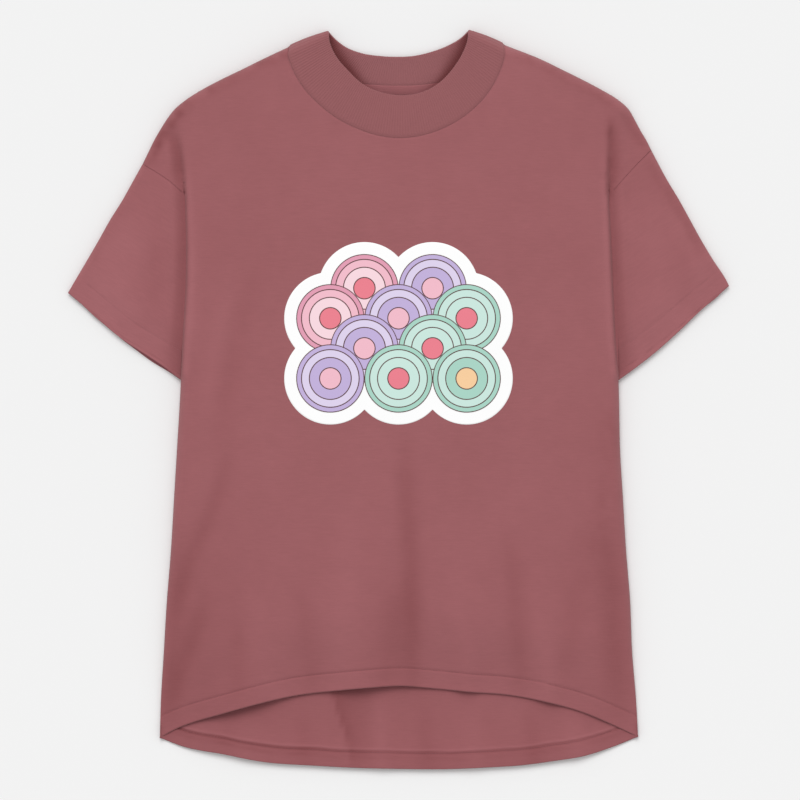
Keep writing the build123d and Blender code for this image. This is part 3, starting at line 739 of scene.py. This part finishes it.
def sleeve(name, cuff, cuff_back, outer, armhole, fold, material, mirror):
    """Upper and lower cloth of a sleeve, joined along the rolled outer fold."""
    rows, columns = edge_spread(SLEEVE_STEPS, SLEEVE_EVENNESS), edge_spread(SLEEVE_STEPS)
    outer, cuff_line, armhole_line = smooth(outer), smooth(cuff), smooth(armhole)
    inner_side, outer_side = sample(smooth(fold), rows), sample(outer, rows)
    places = patch(cuff_line, armhole_line, inner_side, outer_side, columns, rows)
    heights = top_height(places, with_sides=False)
    gap, _ = distance(places, cuff_line[::4])
    heights += (np.minimum(heights, CUFF_REST) - heights) * (1 - ease(gap / CUFF_SETTLE)) ** SETTLE_POWER
    stitch = bell(gap - CUFF_DEPTH, STITCH_WIDTH)
    heights += CUFF_LIFT * ease((CUFF_DEPTH - gap) / 3) - CUFF_STITCH_DIP * stitch - tucked(gap, CLOTH)
    seam_gap, _ = distance(places, armhole_line[::3])
    heights -= ARMHOLE_DIP * bell(seam_gap, ARMHOLE_WIDTH)
    # painted highlight on the outer cuff and painted shade along the cuff's stitches
    near_cuff = (1 - ease(gap / CUFF_LIGHT_REACH)) * ease((np.abs(places[..., 0]) - CUFF_LIGHT_X) / 20)
    painted_shades = painted_fold_shade(places) + CUFF_STITCH_SHADE * stitch - CUFF_LIGHT * near_cuff
    upper = sheet_from(name + "_upper", places, heights, material, painted_shades, flip=mirror)
    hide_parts(name)

    low_places = patch(smooth(cuff_back), armhole_line, inner_side, outer_side, columns, rows)
    low_places += np.array([CLOTH if mirror else -CLOTH, 0.0]) * columns[None, :, None]
    gap, _ = distance(low_places, outer[::4])
    lower = sheet_from(name + "_lower", low_places, lower_height(gap, SLEEVE_ROLL, SLEEVE_MIDDLE), material,
                       flip=mirror)
    return {"upper": upper, "lower": lower, "places": places, "heights": heights, "low_places": low_places}


left = sleeve("left_sleeve", LEFT_CUFF, LEFT_CUFF_BACK, LEFT_SLEEVE, LEFT_ARMHOLE, LEFT_FOLD,
              jersey_left, True)
right = sleeve("right_sleeve", RIGHT_CUFF, RIGHT_CUFF_BACK, RIGHT_SLEEVE, RIGHT_ARMHOLE, RIGHT_FOLD,
               jersey_right, False)


# Collar

RIB_THICKNESS, RIB_WAVE, RIB_FLATNESS = 2.0, 0.42, 0.6
RIBS_FRONT, RIBS_BACK, RIB_STEPS = 108, 86, 8
SIDE_FOLD_HEIGHT, SEAM_FOLD_RADIUS, TOP_FOLD_RADIUS = 6.0, 7.0, 6.0  # the folds at the collar's sides
SEAM_BACK_HEIGHT = 1.5
TOP_FRONT_SIDE, TOP_FRONT_MIDDLE, TOP_BACK_SIDE, TOP_BACK_MIDDLE = 11.0, 14.5, 2.2, 3.8  # top edge's heights
SEAM_HALF, SEAM_TAPER = 0.35, 3.0  # the rib is pressed thin where the seam takes it in
COLLAR_SWELL = 0.9  # the doubled rib bulges outwards between seam and top
CAP_STEPS = 8
LEAST_HEIGHT = 0.15  # the back of the rib lies on the table


def fold_ring(front, back, front_z, back_z, radius):
    """A closed ring through the front and back curves, rolled over at both side folds."""
    rings = []
    for curve, ribs, height in ((front, RIBS_FRONT, front_z), (back[::-1], RIBS_BACK, back_z)):
        curve = smooth(curve)
        shares = np.linspace(0, 1, ribs * RIB_STEPS + 1)
        places = sample(curve, shares)
        end_gap = np.minimum(shares, 1 - shares) * lengths(curve)[-1]
        heights = rolled(height(places, shares), end_gap, radius, SIDE_FOLD_HEIGHT)
        rings.append(np.column_stack([places, heights])[:-1])
    return np.vstack(rings)


def ring_normals(surface):
    """Outward directions of a ring of rows (row 0 is the seam)."""
    around = np.roll(surface, -1, axis=1) - np.roll(surface, 1, axis=1)
    upward = np.gradient(surface, axis=0)
    normal = np.cross(around, upward)
    return normal / np.maximum(np.linalg.norm(normal, axis=2, keepdims=True), 1e-9)


def seam_front(places, shares):
    """Heights of the front neck seam, in the dip beside the jersey."""
    return top_height(places, with_sides=False) - SEAM_DIP - SEAM_HALF


def arched(side, middle):
    """A rule for heights that rise from side to middle along a curve."""
    return lambda places, shares: side + (middle - side) * np.sin(pi * shares)


seam_ring = fold_ring(NECK_FRONT, NECK_BACK, seam_front, arched(SEAM_BACK_HEIGHT, SEAM_BACK_HEIGHT),
                      SEAM_FOLD_RADIUS)
top_ring = fold_ring(TOP_FRONT, TOP_BACK, arched(TOP_FRONT_SIDE, TOP_FRONT_MIDDLE),
                     arched(TOP_BACK_SIDE, TOP_BACK_MIDDLE), TOP_FOLD_RADIUS)
collar_reach = np.linalg.norm(top_ring - seam_ring, axis=1)[:, None]
top_ring += (seam_ring - top_ring) * (RIB_THICKNESS / 2 + RIB_WAVE) / collar_reach
rows = np.concatenate([[0, 0.02, 0.04, 0.065], np.linspace(0.1, 1, 14)])[:, None, None]
collar_middle = seam_ring[None] * (1 - rows) + top_ring[None] * rows
normals = ring_normals(collar_middle)
collar_middle += normals * (COLLAR_SWELL * np.sin(pi * rows))
phase = np.arange(collar_middle.shape[1]) / RIB_STEPS * 2 * pi
wave = (RIB_WAVE * np.abs(np.cos(phase / 2)) ** RIB_FLATNESS)[None, :, None]
from_seam = np.linalg.norm(top_ring - seam_ring, axis=1)[None, :, None] * rows
taper = ease(from_seam / SEAM_TAPER)
half = SEAM_HALF + (RIB_THICKNESS / 2 - SEAM_HALF) * taper + wave * taper
tip_upward = collar_middle[-1] - collar_middle[-2]
tip_upward /= np.linalg.norm(tip_upward, axis=1, keepdims=True)
caps = [collar_middle[-1] + (normals[-1] * np.cos(angle) + tip_upward * np.sin(angle)) * half[-1]
        for angle in np.linspace(0, pi, CAP_STEPS + 1)[1:-1]]
collar_grid = np.concatenate([collar_middle + normals * half, np.array(caps),
                              (collar_middle - normals * half)[::-1]])
collar_grid[..., 2] = np.maximum(collar_grid[..., 2], LEAST_HEIGHT)

# Inside, the back of the neck has painted shade beside the front's rim and painted light in its middle
RIM = smooth(TOP_FRONT, 3)
RIM_SHADE, RIM_LIT_HALF, RIM_LIT_FADE = 11.0, 18.0, 30.0
RIM_WIDTH, RIM_WIDER, RIM_WIDER_Y, RIM_WIDER_LENGTH = 4.5, 5.0, 312.0, 36.0
INSIDE_LIGHT, TAPE_LIGHT = 2.0, 0.8


def rim_shade(points):
    """The painted shade beside the rim of the neck, in millimetres of fold."""
    gap, _ = distance(points, RIM)
    width = RIM_WIDTH + RIM_WIDER * ease((points[..., 1] - RIM_WIDER_Y) / RIM_WIDER_LENGTH)
    return RIM_SHADE * ease((np.abs(points[..., 0]) - RIM_LIT_HALF) / RIM_LIT_FADE) * bell(gap, width)


inside_back = np.zeros(collar_grid.shape[:2])
inside_back[-len(rows):, RIBS_FRONT * RIB_STEPS:] = 1.0
rib_painted_shades = inside_back * (rim_shade(collar_grid[..., :2]) - INSIDE_LIGHT)
closed_grid = np.pad(collar_grid, ((0, 1), (0, 1), (0, 0)), mode="wrap")
closed_painted_shades = np.pad(rib_painted_shades, ((0, 1), (0, 1)), mode="wrap")
builder = cloth_grid(closed_grid, closed_painted_shades)
bmesh.ops.remove_doubles(builder, verts=builder.verts, dist=0.001 * MM)
bmesh.ops.recalc_face_normals(builder, faces=builder.faces)
collar = finish_piece("collar_rib", builder, [rib_knit])
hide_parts("collar")

TAPE_WIDTH, TAPE_OVERLAP, TAPE_END = 10.0, 1.8, 0.14  # its ends, as a share of the back neckline
TAPE_HEIGHT, TAPE_SWELL = 1.5, 0.3
tape_curve = sample(smooth(NECK_BACK), np.linspace(TAPE_END, 1 - TAPE_END, 90))
tape_rows = np.linspace(1, 0, 9)
tape_places = np.array([tape_curve + np.array([0, TAPE_OVERLAP - TAPE_WIDTH * share]) for share in tape_rows])
tape_profile = BACK_HEIGHT + TAPE_HEIGHT + TAPE_SWELL * np.sin(pi * tape_rows)
tape_heights = np.repeat(tape_profile[:, None], len(tape_curve), axis=1)
# the tape's colour has painted shade beside the front's rim and painted light
tape = sheet_from("neck_tape_strip", tape_places, tape_heights, jersey,
                  rim_shade(tape_places) - TAPE_LIGHT)
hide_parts("neck_tape")


# Chest print

FAN_RADIUS, FAN_PITCH, FAN_ROWS, FILM_BORDER = 34.0, 30.0, (2, 3, 2, 3), 12.0
PRINT_Y = 66.5
FILM_LIFT, INK_LIFT, ROW_LIFT = 0.35, 0.12, 0.05
FILM_EDGE_LIFT, FILM_EDGE_WIDTH = 0.02, 0.25  # the film's edge is pressed onto the knit
FILM_SPOKES, FILM_RINGS, FAN_SPOKES = 720, 40, 120


def film_reaches(angles):
    """How far the film reaches from its middle in each direction: the outermost circle round the fans."""
    best, radius = np.zeros(len(angles)), FAN_RADIUS + FILM_BORDER
    for x, y, _ in fans:
        along_ray = x * np.cos(angles) + (y - PRINT_Y) * np.sin(angles)
        aside = (y - PRINT_Y) * np.cos(angles) - x * np.sin(angles)
        half_chord = np.sqrt(np.clip(radius**2 - aside**2, 0, None))
        best = np.where(np.abs(aside) < radius, np.maximum(best, along_ray + half_chord), best)
    return best


def polar_piece(name, middle, rims, spokes, lifts, materials, indices):
    """A disc of rings on the chest; rims gives each ring's reach for every spoke."""
    builder = bmesh.new()
    spoke = [builder.verts.new((k, 0, 0)) for k in range(len(rims) + 1)]
    links = [builder.edges.new(pair) for pair in zip(spoke, spoke[1:])]
    bmesh.ops.spin(builder, geom=spoke + links, cent=(0, 0, 0), axis=(0, 0, 1), angle=2 * pi, steps=spokes,
                   use_merge=True)
    bmesh.ops.remove_doubles(builder, verts=builder.verts, dist=0.001)
    bmesh.ops.recalc_face_normals(builder, faces=builder.faces)
    if next(iter(builder.faces)).normal.z < 0:
        bmesh.ops.reverse_faces(builder, faces=builder.faces)
    flat = np.array([vertex.co[:2] for vertex in builder.verts])
    ring = np.rint(np.linalg.norm(flat, axis=1)).astype(int)
    turn = np.rint(np.arctan2(flat[:, 1], flat[:, 0]) * spokes / (2 * pi)).astype(int) % spokes
    reaches = np.vstack([np.zeros(spokes), rims])[ring, turn]
    angle = turn * 2 * pi / spokes
    places = np.array(middle) + reaches[:, None] * np.column_stack([np.cos(angle), np.sin(angle)])
    heights = top_height(places) + np.concatenate([lifts[:1], lifts])[ring]
    for face in builder.faces:
        face.material_index = indices[max(ring[vertex.index] for vertex in face.verts) - 1]
    for vertex, place, height in zip(builder.verts, places, heights):
        vertex.co = (place[0] * MM, place[1] * MM, height * MM)
    return finish_piece(name, builder, materials)


fans = []
for row, count in enumerate(FAN_ROWS):
    fan_y = PRINT_Y + FAN_PITCH * ((len(FAN_ROWS) - 1) / 2 - row)
    fans += [((place - (count - 1) / 2) * FAN_RADIUS * 2, fan_y, row) for place in range(count)]

film_reach = film_reaches(np.linspace(0, 2 * pi, FILM_SPOKES, endpoint=False))
film_rims = [film_reach * share for share in np.linspace(0.03, 0.985, FILM_RINGS)]
film_rims += [film_reach - FILM_EDGE_WIDTH, film_reach]
film_lifts = np.full(len(film_rims), FILM_LIFT)
film_lifts[-1] = FILM_EDGE_LIFT
film = polar_piece("print_film", (0.0, PRINT_Y), film_rims, FILM_SPOKES, film_lifts, [film_white],
                   [0] * len(film_rims))
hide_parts("chest_print")

# Inks of a fan: its outer, middle and inner band, and its core
FAN_SCHEMES = [
    ("deep_pink", "pink", "blush", "coral"),
    ("mint", "pale_mint", "mint", "peach"),
    ("lilac", "pale_lilac", "lilac", "pink"),
    ("pink", "blush", "deep_pink", "lilac"),
    ("mint", "pale_mint", "pale_mint", "coral"),
]
# A fan's rings from its middle out: reach as a share of the radius, and the part of the fan they belong to
FAN_RINGS = (
    (0.12, "core"), (0.22, "core"), (0.30, "core"), (0.33, "line"),
    (0.45, "inner"), (0.57, "inner"), (0.60, "inner"), (0.63, "line"),
    (0.72, "middle"), (0.80, "middle"), (0.83, "middle"), (0.86, "line"),
    (0.93, "outer"), (0.975, "outer"), (1.0, "line"),
)
FAN_NODES = (("print_rose", "ink_rose"), ("print_mint", "ink_mint"), ("print_lilac", "ink_lilac"))

fan_rims = [np.full(FAN_SPOKES, FAN_RADIUS * share) for share, _ in FAN_RINGS]
for number, (fan_x, fan_y, row) in enumerate(fans):
    scheme = FAN_SCHEMES[(number * 2 + row) % len(FAN_SCHEMES)]
    ink_of = dict(zip(("outer", "middle", "inner", "core", "line"), scheme + ("brown",)))
    inks = sorted(set(ink_of.values()))
    node, slot = FAN_NODES[number % len(FAN_NODES)]
    piece = polar_piece(f"print_fan_{number + 1}", (fan_x, fan_y), fan_rims, FAN_SPOKES,
                        np.full(len(fan_rims), FILM_LIFT + INK_LIFT + ROW_LIFT * row),
                        [INKS[ink] for ink in inks],
                        [inks.index(ink_of[part]) for _, part in FAN_RINGS])
    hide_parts(node)


# Stitches

STITCH_PITCH, STITCH_LENGTH, THREAD_WIDTH, THREAD_HEIGHT = 3.0, 2.4, 0.42, 0.34


def stitch_row(name, curve, heights, material):
    """Short rounded threads end to end along a curve, half sunk in the cloth."""
    at = lengths(curve)
    builder = bmesh.new()
    for start in np.arange(int(at[-1] / STITCH_PITCH)) * STITCH_PITCH:
        shares = np.array([start, start + STITCH_LENGTH / 2, start + STITCH_LENGTH]) / at[-1]
        stitch_heights = np.interp(shares, np.linspace(0, 1, len(heights)), heights)
        tail, middle, tip = np.column_stack([sample(curve, shares), stitch_heights])
        turn = Vector(tip - tail).to_track_quat("X", "Z").to_matrix().to_4x4()
        size = Matrix.Diagonal((STITCH_LENGTH / 2 * MM, THREAD_WIDTH / 2 * MM, THREAD_HEIGHT / 2 * MM, 1))
        bmesh.ops.create_uvsphere(builder, u_segments=6, v_segments=4, radius=1.0,
                                  matrix=Matrix.Translation(middle * MM) @ turn @ size)
    return finish_piece(name, builder, [material])


def offset_curve(curve, gap):
    """The curve moved sideways by gap, to the left of its direction."""
    curve = smooth(curve, 2)
    way = np.gradient(curve, axis=0)
    way /= np.linalg.norm(way, axis=1, keepdims=True)
    return curve + np.column_stack([-way[:, 1], way[:, 0]]) * gap


def height_along(curve, places, heights):
    """Heights of a gridded sheet at points along a curve, as the mean of the nearest grid points."""
    flat, z = places.reshape(-1, 2), heights.ravel()
    nearest = [np.argpartition(((flat - point) ** 2).sum(1), 4)[:4] for point in curve]
    return np.array([z[near].mean() for near in nearest])


for name, edge, gap, ends, places, heights, lift, material in (
        ("front_hem", FRONT_HEM, HEM_DEPTH, 8, front_places, front_heights, 0.1, thread),
        ("back_hem", BACK_HEM, BACK_HEM_DEPTH, 10, back_places, back_heights, 0.1, thread),
        ("left_cuff", LEFT_CUFF, -CUFF_DEPTH, 4, left["places"], left["heights"], 0.02, thread_pale),
        ("right_cuff", RIGHT_CUFF, CUFF_DEPTH, 4, right["places"], right["heights"], 0.02, thread_pale)):
    path = offset_curve(edge, gap)[ends:-ends]
    path_heights = height_along(path, places, heights) + lift
    stitch_row(name + "_stitches", path, path_heights, material)


# Floor, light and camera

FLOOR_HALF = 6.0  # metres from the middle to each edge
WORLD_STRENGTH, KEY_STRENGTH, KEY_ANGLE, KEY_TILT_X, KEY_TILT_Y = 0.655, 1.40, 38, -38, -6
CAMERA_HEIGHT, VIEW_WIDTH, SENSOR = 9.0, 0.8, 36.0

# A matt paper sweep: even, without any shine
floor_mesh = bpy.data.meshes.new("floor")
builder = bmesh.new()
bmesh.ops.create_grid(builder, x_segments=1, y_segments=1, size=FLOOR_HALF)
builder.to_mesh(floor_mesh)
builder.free()
floor = add_object("floor", floor_mesh)
floor_material, tree = new_material("studio_paper")
paper = add_node(tree, "ShaderNodeBsdfPrincipled",
                 {"Base Color": linear("F2F2F2"), "Roughness": 0.95, "Specular IOR Level": 0.0})
add_node(tree, "ShaderNodeOutputMaterial", {"Surface": paper.outputs["BSDF"]})
floor_mesh.materials.append(floor_material)

world = bpy.data.worlds.new("studio")
bpy.context.scene.world = world
world.use_nodes = True
background = world.node_tree.nodes["Background"]
background.inputs["Color"].default_value = (1, 1, 1, 1)
background.inputs["Strength"].default_value = WORLD_STRENGTH

sun_data = bpy.data.lights.new("soft_key", "SUN")
sun_data.energy = KEY_STRENGTH
sun_data.angle = radians(KEY_ANGLE)
sun = add_object("soft_key", sun_data)
sun.rotation_euler = (radians(KEY_TILT_X), radians(KEY_TILT_Y), 0)

camera_data = bpy.data.cameras.new("camera")
camera_data.sensor_width = SENSOR
camera_data.lens = SENSOR * CAMERA_HEIGHT / VIEW_WIDTH
camera_data.clip_end = 50.0
camera = add_object("camera", camera_data)
camera.location = (spot(400, 400)[0] * MM, 0.0, CAMERA_HEIGHT)  # above the photograph's middle
bpy.context.scene.camera = camera
bpy.context.scene.view_settings.view_transform = "Standard"
